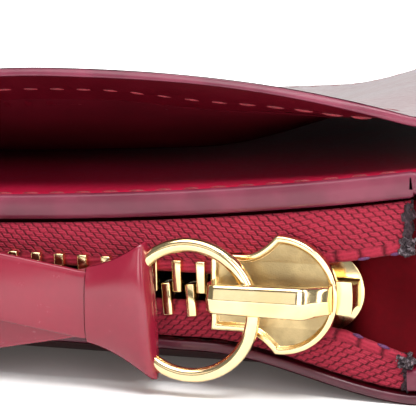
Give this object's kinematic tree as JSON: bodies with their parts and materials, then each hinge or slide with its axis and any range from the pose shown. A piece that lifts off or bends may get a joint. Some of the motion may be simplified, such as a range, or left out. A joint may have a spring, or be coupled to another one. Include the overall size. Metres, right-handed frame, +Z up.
{
  "type": "zip around wallet",
  "caption": "Zip around wallet in red leather with an arched outer flap, lid with card pockets, metal zip and a ring pull with two leather straps.",
  "frame": {"origin": "on the flat underside of the base leaf, midway along the wallet's depth", "axes": "+X from the free edge to the spine, +Y from the slider's side to the back, +Z up"},
  "size_m": [0.1126, 0.0963, 0.0323],
  "materials": {
    "outer_leather": "dark red smooth leather with a painted mauve-wine edge",
    "glossy_leather": "crimson leather with a polished top and stitched edge",
    "lining_leather": "matt dark lining",
    "zip_tape": "woven twill tape",
    "strap_leather": "satin red leather",
    "gold_metal": "polished pale gold plating"
  },
  "bodies": {
    "base": {"base_leather": "outer_leather", "base_lining": "lining_leather", "base_card_pocket_1": "glossy_leather", "base_card_pocket_2": "glossy_leather", "divider": "lining_leather", "spine_lower_leather": "outer_leather", "inner_spine": "glossy_leather", "gusset_front": "outer_leather", "gusset_back": "outer_leather", "lower_zip_tape": "zip_tape", "lower_zip_teeth": "gold_metal", "zip_end_stop": "gold_metal"},
    "lid": {"lid_leather": "glossy_leather", "lid_lining": "lining_leather", "lid_card_pocket_1": "glossy_leather", "lid_card_pocket_2": "glossy_leather", "upper_zip_tape": "zip_tape", "upper_zip_teeth": "gold_metal"},
    "flap": {"flap_leather": "outer_leather", "flap_lining": "lining_leather", "spine_upper_leather": "outer_leather"},
    "slider": {"slider_body": "gold_metal", "slider_bridge": "gold_metal"},
    "ring": {"pull_ring": "gold_metal", "pull_cap": "strap_leather"},
    "straps": {"pull_strap_front": "strap_leather", "pull_strap_back": "strap_leather"}
  },
  "joints": [
    {"name": "lid_open", "type": "hinge", "parent": "base", "child": "lid", "pos_m": [0.0405, 0, 0.0135], "axis": [0, 1, 0], "range_deg": [0, 70], "deforming": ["spine_lower_leather", "inner_spine", "gusset_front", "gusset_back"]},
    {"name": "flap_open", "type": "hinge", "parent": "lid", "child": "flap", "pos_m": [0.0405, 0, 0.0135], "axis": [0, 1, 0], "range_deg": [0, 95], "deforming": ["spine_upper_leather"]},
    {"name": "slider_travel", "type": "slide", "parent": "base", "child": "slider", "axis": [-1, 0, 0], "range_m": [0, 0.066], "deforming": ["lower_zip_teeth", "upper_zip_teeth"]},
    {"name": "ring_swing", "type": "hinge", "parent": "slider", "child": "ring", "pos_m": [0.026, -0.04865, 0.0105], "axis": [0, 0, 1], "range_deg": [0, 150]},
    {"name": "strap_bend", "type": "hinge", "parent": "ring", "child": "straps", "pos_m": [0.0069, -0.04865, 0.0089], "axis": [0, 0, 1], "range_deg": [0, 40]}
  ]
}
